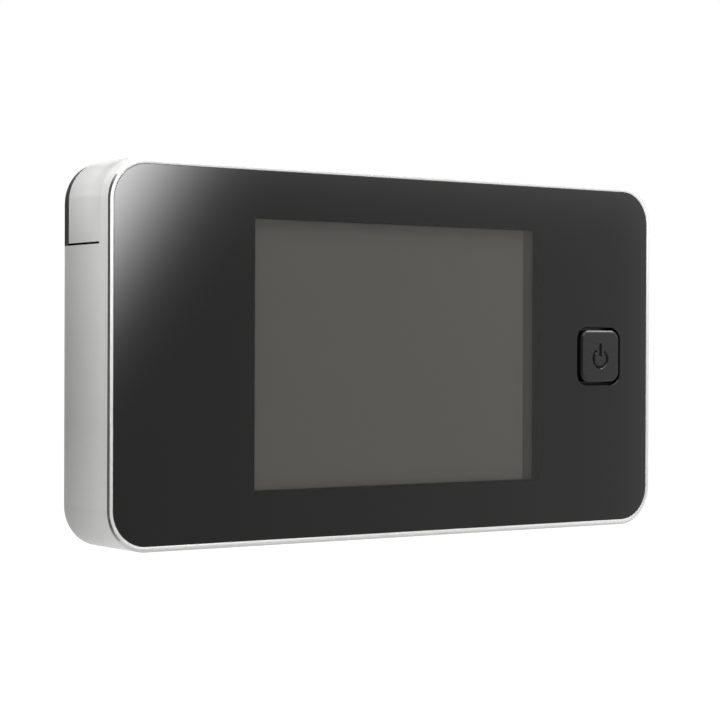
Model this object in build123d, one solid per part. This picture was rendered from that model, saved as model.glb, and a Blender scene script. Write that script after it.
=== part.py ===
from build123d import *
import math
import os

# A peephole door camera: a display unit that hangs on a bracket inside the door,
# and a camera barrel through the door that a threaded sleeve clamps.
# Millimetres, +Z up, the display faces -Y, the barrel runs along +Y.
# The origin lies on the barrel's axis, in the door's inside face.

# Clearances and shared values
move_gap = 0.3  # between bodies that move past each other
slide_gap = 0.2  # between pieces that slide along each other
seat_gap = 0.05  # round a piece that is set into another
thread_gap = 0.1  # radial play of the screw threads and turned fits
cut_over = 1.0  # how far every cut runs past its face

# The door that the part is set for
door_thickness = 40.0

# The display unit as a whole
unit_width = 125.0
unit_height = 68.0
unit_corner = 7.5
door_gap = 0.5  # air between the unit's back and the door

# Housing
wall = 1.4
front_plate = 1.0

# Bezel ring
bezel_width = 0.95
bezel_flange = 0.3
bezel_chamfer_width = 0.35
bezel_chamfer_depth = 0.26
bezel_leg = 0.45

# Front glass and the black film behind it
glass_thickness = 1.0
film_thickness = 0.15
window_from_left = 29.55
window_from_right = 31.15
window_from_top = 9.75
window_from_bottom = 9.85

# Power button
button_from_side = 13.7
button_z = 0.0
button_hole_width = 11.0
button_hole_height = 11.5
button_hole_corner = 2.4
button_gap = 0.5
button_proud = 0.4
button_bevel = 0.35
button_flange_rim = 1.2
button_flange = 0.6
button_stem_radius = 1.6
button_stem = 0.25
button_travel = 0.25
cap_flange_gap = 0.15  # between the button's flange and the plate that holds it in
symbol_radius = 1.7
symbol_line = 0.5
symbol_depth = 0.15
symbol_bar = 2.0
symbol_drop = 0.45
symbol_open_angle = 60.0

# Tactile switch under the button
switch_size = 6.2
switch_height = 0.8
switch_corner = 0.6
plunger_radius = 1.1
plunger_foot = 0.2
plunger_foot_rim = 0.4
plunger_lid = 0.1  # the switch's thin top plate round its plunger

# Liquid crystal display
lcd_side_border = 6.35  # how far the display's frame runs past the window
lcd_end_border = 3.1
lcd_depth = 2.3
lcd_sheet = 0.25
lcd_panel_thickness = 1.1
lcd_rim = 0.5
guide_thickness = 0.7
flex_width = 20.0
flex_thickness = 0.15
flex_drop = 2.4
lcd_socket_rise = 0.25  # over the middle between the camera's socket and the board's low edge
lcd_socket_height = 4.0
lcd_socket_depth = 1.4
lcd_socket_rim = 1.5

# Screws, bosses and their places
screw_radius = 0.9
screw_head_radius = 1.9
screw_head = 1.2
screw_slot_width = 0.5
screw_slot_depth = 0.5
screw_slot_share = 0.6  # how much of a screw's head its cross slot spans
board_boss_radius = 2.5
board_screw_bite = 1.8
board_screw_from_side = 16.5
board_screw_from_seam = 5.5
board_screw_from_bottom = 12.0
case_boss_radius = 3.0
case_screw_from_side = 6.5
case_screw_from_seam = 5.0
case_screw_from_bottom = 7.0
case_screw_bite = 5.0
case_screw_sink = 1.7
case_screw_floor = 1.3

# Main board
board_from_boss = 0.5
board_from_seam = 0.5
board_from_bottom = 3.0
board_thickness = 1.0
board_corner = 1.5
board_from_lcd = 1.0
board_notch_height = 2.6

# Chips, coils and sockets on the board's back; a size is width, height, depth
chip_from_edge = 19.5
memory_from_top = 9.5
memory_size = (10.0, 7.0, 1.0)
processor_below_memory = 13.5
processor_size = (12.0, 12.0, 1.2)
flash_below_processor = 12.0
flash_size = (6.0, 5.0, 0.9)
crystal_from_chips = 11.0
crystal_size = (3.2, 5.0, 0.9)
coil_from_edge = 22.5
coil_from_bottom = 10.0
coil_step = 7.0
coil_count = 2
coil_width = 5.0
coil_depth = 2.4
capacitor_size = (2.8, 3.5, 1.9)
capacitor_from_edge = 15.0
capacitor_from_bottom = 8.0
capacitor_step = 5.0
capacitor_count = 4
resistor_size = (0.8, 1.6, 0.5)
resistor_from_edge = 10.0
resistor_from_top = 33.0
resistor_step = 2.6
resistor_count = 10
camera_socket_from_pocket = 3.5  # its middle's height over the pocket's low end
camera_socket_width = 12.0
camera_socket_height = 4.0
camera_socket_depth = 3.6
camera_socket_slot_width = 9.6
camera_socket_slot_height = 1.0
camera_socket_slot_depth = 2.2
coil_neck_share = 0.35  # the part of a coil's height that is its square foot

# Back cover
cover_thickness = 1.5
cover_gap = 0.1
recess_depth = 2.9
recess_floor = 1.2
pocket_floor = 1.0
pocket_depth = 6.5
pocket_room = 1.0  # air round the clamp sleeve's flange
recess_room = 0.5  # air round the bracket's plate
recess_from_seam = 1.0
cover_behind_cells = 1.1  # what is left of the cover's edge behind the cells

# Battery lid on the unit's top
lid_setback = 3.6
lid_strip = 1.8  # the back cover's edge that shows behind the lid
lid_wall = 1.2
lid_seam = 0.15
lid_rise = 0.3
tongue_width = 4.0
tongue_thickness = 1.1
tongue_length = 5.5
tongue_from_front = 3.0
lid_below_tray = 1.55

# Cells and their tray
cell_radius = 5.25
cell_length = 44.5
cell_nub_radius = 1.9
cell_nub = 1.0
cell_edge = 0.6
cell_gap = 0.15
cell_under_lid = 0.2
spring_room = 4.5
contact_thickness = 0.3
contact_width = 8.0
contact_height = 9.0
contact_leg_width = 3.0
contact_leg_overlap = 2.0
leaf_width = 5.0
leaf_height = 7.0
tray_front_wall = 0.5
tray_floor = 1.2
tray_end_wall = 1.2
tray_end_height = 8.0
tray_ear = 1.2
tray_ear_width = 7.0
tray_from_lcd = 0.1
tray_top_gap = 0.5

# Bracket on the door
pad_thickness = 0.8
pad_width = 8.0
pad_edge = 2.0
bracket_thickness = 1.2
bracket_width = 56.0
bracket_corner = 3.0
hook_from_side = 8.0
hook_from_top = 9.0
hook_from_bottom = 4.0
hook_width = 6.0
hook_thickness = 1.0
hook_lip_thickness = 0.8
hook_lip = 4.0
hook_window_height = 5.0
lift_travel = 6.0

# Clamp sleeve and camera barrel
sleeve_flange_radius = 12.0
sleeve_flange = 1.5
sleeve_radius = 6.8
sleeve_reach = 28.0
coin_slot_width = 2.0
coin_slot_depth = 0.8
tube_radius = 6.0
tube_bore = 5.0
tube_length = 32.0
head_radius = 13.5
head_thickness = 2.6
head_round = 1.2
washer_thickness = 0.8
washer_radius = 12.8
lens_port_radius = 4.5
window_glass_radius = 5.5
window_glass_thickness = 1.0
window_sink = 0.2
window_shoulder = 0.8  # the ledge that the outside window rests on
lens_radius = 3.9
lens_length = 7.0
lens_collar_radius = 4.4
lens_collar = 1.0
lens_from_window = 0.3
element_radius = 2.8
element_thickness = 1.6
element_crown = 0.7
holder_length = 5.0
sensor_size = 4.4
sensor_thickness = 0.8
sensor_room_share = 0.78  # the holder's inner radius per size of the sensor chip
sensor_board_thickness = 0.8
ribbon_socket_width = 6.0
ribbon_socket_height = 2.4
ribbon_socket_depth = 1.2

# The unit is as deep as its glass, screen, cells and cover need
half_width = unit_width / 2
half_height = unit_height / 2
front_stack = glass_thickness + film_thickness
screen_stack = seat_gap + lcd_depth + tray_from_lcd
cell_stack = tray_front_wall + 2 * (cell_gap + cell_radius)
unit_depth = front_stack + screen_stack + cell_stack + cover_behind_cells
back_y = -door_gap
front_y = back_y - unit_depth
plate_y = front_y + front_stack
lcd_back_y = plate_y + seat_gap + lcd_depth
board_y = lcd_back_y + board_from_lcd
board_back_y = board_y + board_thickness

# The cells and their tray set the lid's seam
lid_front_y = front_y + lid_setback
lid_back_y = back_y - lid_strip
lid_top = half_height + lid_rise
cell_z = lid_top - lid_wall - cell_under_lid - cell_radius
tray_y = lcd_back_y + tray_from_lcd
cell_y = tray_y + tray_front_wall + cell_gap + cell_radius
tray_floor_top = cell_z - cell_radius - cell_gap
tray_floor_bottom = tray_floor_top - tray_floor
lid_seam_z = tray_floor_bottom - lid_below_tray
lid_bottom = lid_seam_z + lid_seam + lid_rise
tray_half_width = half_width - wall - slide_gap - tongue_thickness - move_gap

# Screen, button and screws follow the unit's sides
window_width = unit_width - window_from_left - window_from_right
window_height = unit_height - window_from_top - window_from_bottom
window_x = (window_from_left - window_from_right) / 2
window_z = (window_from_bottom - window_from_top) / 2
lcd_width = window_width + 2 * lcd_side_border
lcd_height = window_height + 2 * lcd_end_border
button_x = half_width - button_from_side
case_screw_x = half_width - case_screw_from_side
case_screw_high = lid_seam_z - case_screw_from_seam
case_screw_low = case_screw_from_bottom - half_height
board_screw_left_x = board_screw_from_side - half_width
board_screw_high = lid_seam_z - board_screw_from_seam
board_screw_low = board_screw_from_bottom - half_height

# Main board and what stands on it
board_half_width = case_screw_x - case_boss_radius - board_from_boss
board_top = lid_seam_z - board_from_seam
board_bottom = board_from_bottom - half_height
chip_x = chip_from_edge - board_half_width
memory_z = board_top - memory_from_top
processor_z = memory_z - processor_below_memory
flash_z = processor_z - flash_below_processor
crystal_x = chip_x + crystal_from_chips
coil_x = board_half_width - coil_from_edge
coil_z = board_bottom + coil_from_bottom
capacitor_x = board_half_width - capacitor_from_edge
capacitor_z = board_bottom + capacitor_from_bottom
resistor_x = resistor_from_edge - board_half_width
resistor_z = board_top - resistor_from_top
pocket_radius = sleeve_flange_radius + pocket_room
camera_socket_z = camera_socket_from_pocket - lift_travel - pocket_radius
lcd_socket_z = (board_bottom + camera_socket_z) / 2 + lcd_socket_rise

# The other places that follow from the sizes above
bracket_back_y = -pad_thickness
bracket_front_y = bracket_back_y - bracket_thickness
bracket_half_height = lid_seam_z - recess_from_seam - recess_room
recess_y = back_y - recess_depth
recess_front_y = recess_y - recess_floor
pocket_y = back_y - pocket_depth
hook_x = bracket_width / 2 - hook_from_side
hook_high_z = bracket_half_height - hook_from_top
hook_low_z = hook_from_bottom - bracket_half_height
hook_lip_y = recess_front_y - move_gap
cover_inner_y = back_y - cover_thickness
cell_row = 2 * cell_length + spring_room + seat_gap
contact_x = (cell_row + seat_gap) / 2
tray_inner_x = contact_x + contact_thickness
cell_left_x = -contact_x + spring_room
cell_right_x = contact_x - seat_gap - cell_length
sleeve_y = bracket_front_y - thread_gap
washer_y = door_thickness
head_y = washer_y + washer_thickness
head_front_y = head_y + head_thickness
window_back_y = head_front_y - window_sink - window_glass_thickness
lens_front_y = window_back_y - lens_from_window
lens_back_y = lens_front_y - lens_length
holder_front_y = lens_back_y + holder_length / 2
holder_back_y = holder_front_y - holder_length
board_boss_places = [
    (board_screw_left_x, board_screw_high),
    (board_screw_left_x, board_screw_low),
    (button_x, board_screw_high),
    (button_x, board_screw_low),
]
case_screw_places = [
    (-case_screw_x, case_screw_high),
    (case_screw_x, case_screw_high),
    (-case_screw_x, case_screw_low),
    (case_screw_x, case_screw_low),
]
hook_places = [
    (-hook_x, hook_high_z),
    (hook_x, hook_high_z),
    (-hook_x, hook_low_z),
    (hook_x, hook_low_z),
]
case_seat_y = back_y - case_screw_sink - case_screw_floor


# Shapes that several pieces share
def slab(outline, y_front, y_back):
    """A flat outline (x, z) made solid between two depths."""
    plane = Plane(origin=(0, y_back, 0), x_dir=(1, 0, 0), z_dir=(0, -1, 0))
    return extrude(plane * outline, amount=y_back - y_front)


def side_slab(points, x_low, x_high):
    """A closed outline of (y, z) points made solid between two widths."""
    plane = Plane(origin=(x_low, 0, 0), x_dir=(0, 1, 0), z_dir=(1, 0, 0))
    return extrude(plane * Polygon(*points, align=None), amount=x_high - x_low, dir=(1, 0, 0))


def deep_slab(points, y_front, y_back):
    """A closed outline of (x, z) points made solid between two depths."""
    plane = Plane(origin=(0, y_back, 0), x_dir=(1, 0, 0), z_dir=(0, -1, 0))
    return extrude(plane * Polygon(*points, align=None), amount=y_back - y_front, dir=(0, -1, 0))


def rounded(width, height, corner, x=0, z=0):
    return Pos(x, z) * RectangleRounded(width, height, corner)


def disc(radius, y_front, y_back, x=0, z=0):
    return slab(Pos(x, z) * Circle(radius), y_front, y_back)


def block(x_range, y_range, z_range):
    size = [high - low for low, high in (x_range, y_range, z_range)]
    middle = [(high + low) / 2 for low, high in (x_range, y_range, z_range)]
    return Pos(*middle) * Box(*size)


def around(middle, size):
    return (middle - size / 2, middle + size / 2)


def unit_outline(inset):
    return rounded(unit_width - 2 * inset, unit_height - 2 * inset, unit_corner - inset)


def above_seam(y_front, y_back, z_low):
    """The space over a height, wider than the unit, between two depths."""
    x_range = around(0, unit_width + 2 * cut_over)
    return block(x_range, (y_front, y_back), (z_low, half_height + lid_rise + cut_over))


def screw(x, z, head_y_back, length):
    """A pan head screw whose head's back lies at a depth, driven towards -Y."""
    head = disc(screw_head_radius, head_y_back - screw_head, head_y_back, x, z)
    shank = disc(screw_radius, head_y_back - screw_head - length, head_y_back - screw_head, x, z)
    slot_long = around(0, 2 * screw_head_radius * screw_slot_share)
    slot_short = around(0, screw_slot_width)
    depth = (head_y_back - screw_slot_depth, head_y_back + cut_over)
    cross = block(slot_long, depth, slot_short) + block(slot_short, depth, slot_long)
    return head + shank - Pos(x, 0, z) * cross


# The display unit
def make_housing():
    shell = slab(unit_outline(0), front_y + bezel_flange, back_y)
    shell -= slab(unit_outline(wall), plate_y + front_plate, back_y + cut_over)
    shell -= slab(unit_outline(bezel_width - bezel_leg), front_y, plate_y)
    lcd_hole = rounded(lcd_width + 2 * slide_gap, lcd_height + 2 * slide_gap, slide_gap, window_x, window_z)
    shell -= slab(lcd_hole, front_y, plate_y + front_plate + cut_over)
    cap_gap = button_gap - move_gap
    cap_hole = rounded(
        button_hole_width - 2 * cap_gap,
        button_hole_height - 2 * cap_gap,
        button_hole_corner - cap_gap,
        button_x,
        button_z,
    )
    shell -= slab(cap_hole, front_y, plate_y + front_plate + cut_over)
    shell -= above_seam(lid_front_y, back_y + cut_over, lid_seam_z)
    for x, z in board_boss_places:
        shell += disc(board_boss_radius, plate_y + front_plate, board_y, x, z)
        hole_y = board_y - board_screw_bite - seat_gap
        shell -= disc(screw_radius + seat_gap, hole_y, board_y + cut_over, x, z)
    for x, z in case_screw_places:
        seat_y = case_seat_y - (tray_ear if z > 0 else 0)
        shell += disc(case_boss_radius, plate_y + front_plate, seat_y, x, z)
        hole_y = case_seat_y - tray_ear - case_screw_bite
        shell -= disc(screw_radius + seat_gap, hole_y, seat_y + cut_over, x, z)
    return shell


def make_bezel_ring():
    flange = slab(unit_outline(0), front_y, front_y + bezel_flange)
    front_edges = flange.faces().sort_by(Axis.Y)[0].edges()
    flange = chamfer(front_edges, bezel_chamfer_depth, bezel_chamfer_width)
    leg = slab(unit_outline(bezel_width - bezel_leg), front_y + bezel_flange, plate_y)
    return flange + leg - slab(unit_outline(bezel_width), front_y - cut_over, plate_y + cut_over)


def glass_outline():
    return unit_outline(bezel_width + seat_gap)


def button_hole_outline():
    return rounded(button_hole_width, button_hole_height, button_hole_corner, button_x, button_z)


def make_front_glass():
    glass = slab(glass_outline(), front_y, front_y + glass_thickness)
    return glass - slab(button_hole_outline(), front_y - cut_over, front_y + glass_thickness + cut_over)


def make_mask_film():
    y_back = front_y + glass_thickness + film_thickness
    film = slab(glass_outline(), front_y + glass_thickness, y_back)
    film -= slab(button_hole_outline(), front_y, y_back + cut_over)
    window = Pos(window_x, window_z) * Rectangle(window_width, window_height)
    return film - slab(window, front_y, y_back + cut_over)


def make_power_button():
    width = button_hole_width - 2 * button_gap
    height = button_hole_height - 2 * button_gap
    corner = button_hole_corner - button_gap
    cap_y = front_y - button_proud
    flange_y = plate_y + front_plate + cap_flange_gap
    cap = slab(rounded(width, height, corner, button_x, button_z), cap_y, flange_y)
    cap = chamfer(cap.faces().sort_by(Axis.Y)[0].edges(), button_bevel)
    rim = 2 * button_flange_rim
    flange = rounded(width + rim, height + rim, corner + button_flange_rim, button_x, button_z)
    button = cap + slab(flange, flange_y, flange_y + button_flange)
    stem_y = flange_y + button_flange
    button += disc(button_stem_radius, stem_y, stem_y + button_stem, button_x, button_z)
    return button - power_symbol(cap_y)


def power_symbol(cap_y):
    """The cut for the power sign: a ring open at its top and an upright bar."""
    z = button_z - symbol_drop
    ring = Circle(symbol_radius) - Circle(symbol_radius - symbol_line)
    half_open = math.radians(symbol_open_angle / 2)
    reach = symbol_radius * 2
    wedge = Polygon(
        (0, 0), (reach * math.sin(half_open), reach), (-reach * math.sin(half_open), reach), align=None
    )
    bar = Pos(0, symbol_bar / 2) * Rectangle(symbol_line, symbol_bar)
    return slab(Pos(button_x, z) * (ring - wedge + bar), cap_y - cut_over, cap_y + symbol_depth)


def plunger_y():
    return plate_y + front_plate + cap_flange_gap + button_flange + button_stem + seat_gap


def make_switch():
    """The tactile switch's body, with a round well that the plunger sinks into."""
    body = rounded(switch_size, switch_size, switch_corner, button_x, button_z)
    switch = slab(body, board_y - switch_height, board_y)
    foot_radius = plunger_radius + plunger_foot_rim + seat_gap
    well_y = board_y - switch_height + plunger_lid
    well_depth = plunger_foot + button_travel + 2 * seat_gap
    switch -= disc(foot_radius, well_y, well_y + well_depth, button_x, button_z)
    return switch - disc(plunger_radius + seat_gap, well_y - switch_height, well_y, button_x, button_z)


def make_plunger():
    foot_y = board_y - switch_height + plunger_lid + seat_gap
    pin = disc(plunger_radius, plunger_y(), foot_y, button_x, button_z)
    foot_radius = plunger_radius + plunger_foot_rim
    return pin + disc(foot_radius, foot_y, foot_y + plunger_foot, button_x, button_z)


def lcd_block(inset, y_front, y_back):
    outline = Pos(window_x, window_z) * Rectangle(lcd_width - 2 * inset, lcd_height - 2 * inset)
    return slab(outline, y_front, y_back)


def make_lcd_frame():
    y_front = plate_y + seat_gap
    frame = lcd_block(0, y_front, lcd_back_y)
    frame -= lcd_block(lcd_sheet, y_front + lcd_sheet, lcd_back_y - lcd_sheet)
    return frame - lcd_block(lcd_sheet + lcd_rim, y_front - cut_over, y_front + lcd_sheet + cut_over / 2)


def make_lcd_panel():
    y_front = plate_y + seat_gap + lcd_sheet
    return lcd_block(lcd_sheet + seat_gap, y_front, y_front + lcd_panel_thickness)


def make_light_guide():
    y_front = plate_y + seat_gap + lcd_sheet + lcd_panel_thickness
    return lcd_block(lcd_sheet + seat_gap, y_front, y_front + guide_thickness)


def make_lcd_flex():
    """The flat cable that leaves the display's back and folds onto the board."""
    low_z = window_z - lcd_height / 2 - flex_drop
    inner_y = lcd_back_y + flex_thickness
    outer_z = low_z - flex_thickness
    back = board_back_y + flex_thickness
    y_out = back + flex_thickness
    top_z = window_z - lcd_height / 2 + flex_drop
    socket_low_z = lcd_socket_z - lcd_socket_height / 2
    points = [
        (lcd_back_y, top_z),
        (inner_y, top_z),
        (inner_y, low_z),
        (back, low_z),
        (back, socket_low_z),
        (y_out, socket_low_z),
        (y_out, outer_z),
        (lcd_back_y, outer_z),
    ]
    return side_slab(points, *around(window_x, flex_width))


def make_lcd_socket():
    width = flex_width + 2 * lcd_socket_rim
    y_range = (board_back_y, board_back_y + lcd_socket_depth)
    return block(around(window_x, width), y_range, around(lcd_socket_z, lcd_socket_height))


def make_main_board():
    height = board_top - board_bottom
    middle_z = (board_top + board_bottom) / 2
    outline = rounded(2 * board_half_width, height, board_corner, 0, middle_z)
    board = slab(outline, board_y, board_back_y)
    notch_width = flex_width + 2 * lcd_socket_rim
    y_range = (board_y - cut_over, board_back_y + cut_over)
    board -= block(
        around(window_x, notch_width), y_range, (board_bottom - cut_over, board_bottom + board_notch_height)
    )
    for x, z in board_boss_places:
        board -= disc(screw_radius + slide_gap, *y_range, x, z)
    return board


def on_board(x, z, width, height, depth):
    return block(around(x, width), (board_back_y, board_back_y + depth), around(z, height))


def make_power_coils():
    coils = []
    for step in range(coil_count):
        z = coil_z + step * coil_step
        foot = coil_depth * coil_neck_share
        neck = disc(coil_width / 2, board_back_y + foot, board_back_y + coil_depth, coil_x, z)
        coils.append(on_board(coil_x, z, coil_width, coil_width, foot) + neck)
    return coils


def make_capacitors():
    width, height, depth = capacitor_size
    places = [capacitor_z + step * capacitor_step for step in range(capacitor_count)]
    return [on_board(capacitor_x, z, width, height, depth) for z in places]


def make_resistors():
    width, height, depth = resistor_size
    places = [resistor_z + step * resistor_step for step in range(resistor_count)]
    return [on_board(resistor_x, z, width, height, depth) for z in places]


def make_camera_socket():
    size = (camera_socket_width, camera_socket_height, camera_socket_depth)
    socket = on_board(0, camera_socket_z, *size)
    mouth_y = board_back_y + camera_socket_depth
    y_range = (mouth_y - camera_socket_slot_depth, mouth_y + cut_over)
    x_range = around(0, camera_socket_slot_width)
    return socket - block(x_range, y_range, around(camera_socket_z, camera_socket_slot_height))


def make_board_screws():
    length = board_thickness + board_screw_bite
    return [screw(x, z, board_back_y + screw_head, length) for x, z in board_boss_places]


def make_case_screws():
    head_y_back = back_y - case_screw_sink + screw_head
    length = case_screw_floor + case_screw_bite
    return [screw(x, z, head_y_back, length) for x, z in case_screw_places]


def make_battery_tray():
    x_range = around(0, 2 * tray_half_width)
    floor_back_y = lid_back_y - slide_gap
    tray = block(x_range, (tray_y, floor_back_y), (tray_floor_bottom, tray_floor_top))
    wall_top = lid_top - lid_wall - tray_top_gap
    tray += block(x_range, (tray_y, tray_y + tray_front_wall), (tray_floor_bottom, wall_top))
    for side in (-1, 1):
        end_x = sorted((side * tray_inner_x, side * (tray_inner_x + tray_end_wall)))
        end_z = (tray_floor_bottom, tray_floor_top + tray_end_height)
        tray += block(end_x, (tray_y, floor_back_y), end_z)
        leg_x = sorted((side * (contact_x - seat_gap), side * tray_inner_x))
        leg_y = (board_back_y, board_back_y + contact_leg_width + seat_gap)
        tray -= block(leg_x, leg_y, (tray_floor_bottom - cut_over, tray_floor_top + cut_over))
        ear_y = (case_seat_y - tray_ear, case_seat_y)
        ear_z = (case_screw_high - case_boss_radius, tray_floor_top)
        tray += block(around(side * case_screw_x, tray_ear_width), ear_y, ear_z)
        hole = (ear_y[0] - cut_over, ear_y[1] + cut_over)
        tray -= disc(screw_radius + slide_gap, *hole, side * case_screw_x, case_screw_high)
    return tray & slab(unit_outline(lid_wall + tray_top_gap), tray_y, floor_back_y + tray_ear)


def make_cell(x_base):
    """One cell that lies along X, its flat end at x_base and its nub towards +X."""
    can = Cylinder(cell_radius, cell_length - cell_nub, align=(Align.CENTER, Align.CENTER, Align.MIN))
    can = fillet(can.edges().filter_by(GeomType.CIRCLE), cell_edge)
    nub = Cylinder(cell_nub_radius, cell_nub + cell_edge, align=(Align.CENTER, Align.CENTER, Align.MIN))
    nub = Pos(0, 0, cell_length - cell_nub - cell_edge) * nub
    return Pos(x_base, cell_y, cell_z) * Rot(0, 90, 0) * (can + nub)


def contact_leg(side):
    """The strip of a contact that stands on the main board's back."""
    x_range = sorted((side * contact_x, side * (contact_x + contact_thickness)))
    y_range = (board_back_y, board_back_y + contact_leg_width)
    return block(x_range, y_range, (board_top - contact_leg_overlap, cell_z))


def contact_plate(side):
    x_range = sorted((side * contact_x, side * (contact_x + contact_thickness)))
    return block(x_range, around(cell_y, contact_width), around(cell_z, contact_height))


def make_flat_contact():
    return contact_plate(1) + contact_leg(1)


def make_leaf_contact():
    """The minus contact: a plate with a bowed leaf that presses on the cell."""
    root = -contact_x
    tip = cell_left_x - seat_gap
    half = leaf_height / 2
    points = [
        (root, cell_z + half),
        (tip, cell_z + contact_thickness),
        (tip, cell_z - contact_thickness),
        (root, cell_z - half),
        (root, cell_z - half + contact_thickness * 2),
        (tip - contact_thickness, cell_z),
        (root, cell_z + half - contact_thickness * 2),
    ]
    return contact_plate(-1) + contact_leg(-1) + deep_slab(points, *around(cell_y, leaf_width))


def pocket_outline(rim):
    """The deep pocket round the clamp sleeve, long enough for the lift."""
    radius = pocket_radius + rim
    low = Pos(0, -lift_travel) * Circle(radius)
    middle = Pos(0, -lift_travel / 2) * Rectangle(2 * radius, lift_travel)
    return Circle(radius) + low + middle


def recess_box(rim, y_front, y_back):
    half = bracket_width / 2 + recess_room + rim
    low = -bracket_half_height - recess_room - lift_travel - rim
    high = bracket_half_height + recess_room + rim
    return block((-half, half), (y_front, y_back), (low, high))


def make_back_cover():
    cover = slab(unit_outline(wall + cover_gap), cover_inner_y, back_y)
    cover -= above_seam(cover_inner_y - cut_over, back_y + cut_over, lid_seam_z + lid_seam)
    strip = slab(unit_outline(0), lid_back_y, back_y)
    cover += strip & above_seam(lid_back_y, back_y, lid_seam_z + lid_seam)
    relief_z = (tray_floor_bottom, lid_top - lid_wall - cell_under_lid + cell_gap)
    cell_back_y = cell_y + cell_radius + cell_gap
    relief = block(around(0, 2 * tray_half_width), (lid_back_y - cut_over, cell_back_y), relief_z)
    cover -= relief & slab(unit_outline(wall), lid_back_y - cut_over, cell_back_y)
    cover += recess_box(recess_floor, recess_front_y, back_y)
    cover += slab(pocket_outline(pocket_floor), pocket_y - pocket_floor, recess_front_y)
    cover -= recess_box(0, recess_y, back_y + cut_over)
    cover -= slab(pocket_outline(0), pocket_y, back_y + cut_over)
    for x, z in hook_places:
        slot_z = (z - lift_travel - move_gap, z + hook_thickness + slide_gap)
        slot_x = around(x, hook_width + 2 * move_gap)
        cover -= block(slot_x, (recess_front_y - cut_over, recess_y + cut_over), slot_z)
    for x, z in case_screw_places:
        cover += disc(case_boss_radius, case_seat_y, cover_inner_y, x, z)
        cover -= disc(screw_head_radius + slide_gap, back_y - case_screw_sink, back_y + cut_over, x, z)
        cover -= disc(screw_radius + slide_gap, case_seat_y - cut_over, back_y + cut_over, x, z)
    width = camera_socket_width + 2 * move_gap
    height = camera_socket_height + 2 * move_gap
    y_range = (pocket_y - pocket_floor - cut_over, pocket_y + cut_over)
    return cover - block(around(0, width), y_range, around(camera_socket_z, height))


def make_battery_lid():
    """A cap over the unit's top: one bent wall, with two guide tongues."""
    outer = Pos(0, 0, lid_rise) * slab(unit_outline(0), lid_front_y + lid_seam, lid_back_y - lid_seam)
    y_range = (lid_front_y - cut_over, lid_back_y + cut_over)
    inner = Pos(0, 0, lid_rise) * slab(unit_outline(lid_wall), *y_range)
    lid = (outer - inner) & above_seam(*y_range, lid_bottom)
    inner_x = half_width - wall - slide_gap
    tongue_y = lid_front_y + tongue_from_front
    for side in (-1, 1):
        low_x = sorted((side * inner_x, side * (inner_x - tongue_thickness)))
        root_x = sorted((side * (half_width - lid_wall), side * (inner_x - tongue_thickness)))
        y_span = (tongue_y, tongue_y + tongue_width)
        lid += block(low_x, y_span, (lid_bottom - tongue_length, lid_bottom + tongue_length))
        lid += block(root_x, y_span, (lid_bottom, lid_bottom + tongue_length))
    return lid


# The bracket on the door
def make_bracket():
    plate = rounded(bracket_width, 2 * bracket_half_height, bracket_corner)
    bracket = slab(plate, bracket_front_y, bracket_back_y)
    plate_cut = (bracket_front_y - cut_over, bracket_back_y + cut_over)
    for x, z in hook_places:
        window_z_range = (z + hook_thickness, z + hook_thickness + hook_window_height)
        bracket -= block(around(x, hook_width), plate_cut, window_z_range)
        lip_y = (hook_lip_y - hook_lip_thickness, hook_lip_y)
        leg_y = (hook_lip_y, bracket_front_y)
        lip_z = (z, z + hook_thickness + hook_lip)
        bracket += block(around(x, hook_width), lip_y, lip_z)
        bracket += block(around(x, hook_width), leg_y, (z, z + hook_thickness))
    return bracket - disc(sleeve_radius + move_gap, *plate_cut)


def make_foam_pads():
    pad_x = bracket_width / 2 - pad_edge - pad_width / 2
    height = 2 * (bracket_half_height - pad_edge)
    outline = Rectangle(pad_width, height)
    return [slab(Pos(side * pad_x, 0) * outline, bracket_back_y, 0) for side in (-1, 1)]


# The clamp sleeve and the camera barrel
def make_clamp_sleeve():
    flange = disc(sleeve_flange_radius, sleeve_y - sleeve_flange, sleeve_y)
    sleeve = flange + disc(sleeve_radius, sleeve_y, sleeve_reach)
    length = 2 * sleeve_flange_radius + cut_over
    slot_y = (sleeve_y - sleeve_flange - cut_over, sleeve_y - sleeve_flange + coin_slot_depth)
    sleeve -= block(around(0, length), slot_y, around(0, coin_slot_width))
    return sleeve - disc(tube_radius + thread_gap, sleeve_y - sleeve_flange - cut_over, sleeve_reach + cut_over)


def make_camera_barrel():
    """The outside flange and its threaded tube, turned from one piece."""
    flange = disc(head_radius, head_y, head_front_y)
    flange = fillet(flange.faces().sort_by(Axis.Y)[-1].edges(), head_round)
    barrel = flange + disc(tube_radius, head_y - tube_length, head_y)
    barrel -= disc(tube_bore, head_y - tube_length - cut_over, window_back_y - window_shoulder)
    barrel -= disc(lens_port_radius, head_y, head_front_y + cut_over)
    return barrel - disc(window_glass_radius + seat_gap, window_back_y, head_front_y + cut_over)


def make_outer_washer():
    ring = disc(washer_radius, washer_y, head_y)
    return ring - disc(tube_radius + move_gap, washer_y - cut_over, head_y + cut_over)


def make_window_glass():
    return disc(window_glass_radius, window_back_y, window_back_y + window_glass_thickness)


def make_lens():
    lens = disc(lens_radius, lens_back_y, lens_front_y)
    lens += disc(lens_collar_radius, lens_front_y - lens_collar, lens_front_y)
    seat = disc(element_radius + seat_gap, lens_front_y - element_thickness, lens_front_y + cut_over)
    way = disc(sensor_size / 2, lens_back_y - cut_over, lens_front_y)
    return lens - seat - way


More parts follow.
